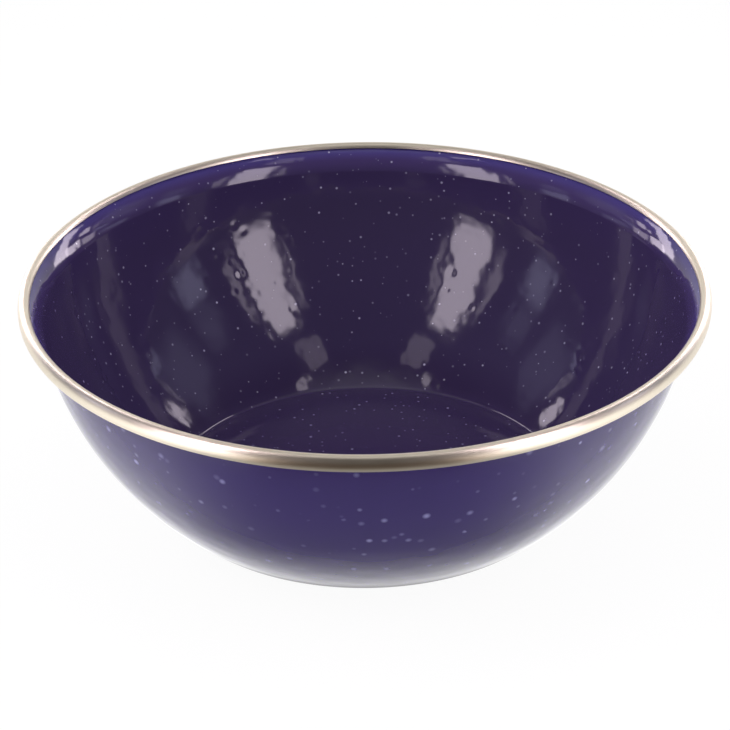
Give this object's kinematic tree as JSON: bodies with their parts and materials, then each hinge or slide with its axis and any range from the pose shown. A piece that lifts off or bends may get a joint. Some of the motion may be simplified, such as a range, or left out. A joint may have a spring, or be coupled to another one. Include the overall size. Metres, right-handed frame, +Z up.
{
  "type": "enamel bowl",
  "caption": "Round enamelled steel bowl with a flat base, a curved wall, a flared lip and a rolled stainless rim band, for serving and eating food.",
  "frame": {"origin": "centre of the underside of the base, in the plane the bowl stands on", "axes": "+Z up along the axis of the bowl; the bowl is round, so X and Y are any two level directions"},
  "size_m": [0.155, 0.155, 0.0515],
  "materials": {
    "exterior_glaze": "glossy deep blue vitreous enamel with coarse pale specks",
    "interior_glaze": "glossy deep blue vitreous enamel with fine white specks",
    "sheet_steel": "plain pressed sheet, hidden under the coats",
    "stainless_trim": "polished, with fine lines along the strip"
  },
  "bodies": {
    "root": {"exterior_enamel": "exterior_glaze", "steel_shell": "sheet_steel", "interior_enamel": "interior_glaze", "rim_band": "stainless_trim"}
  },
  "joints": []
}
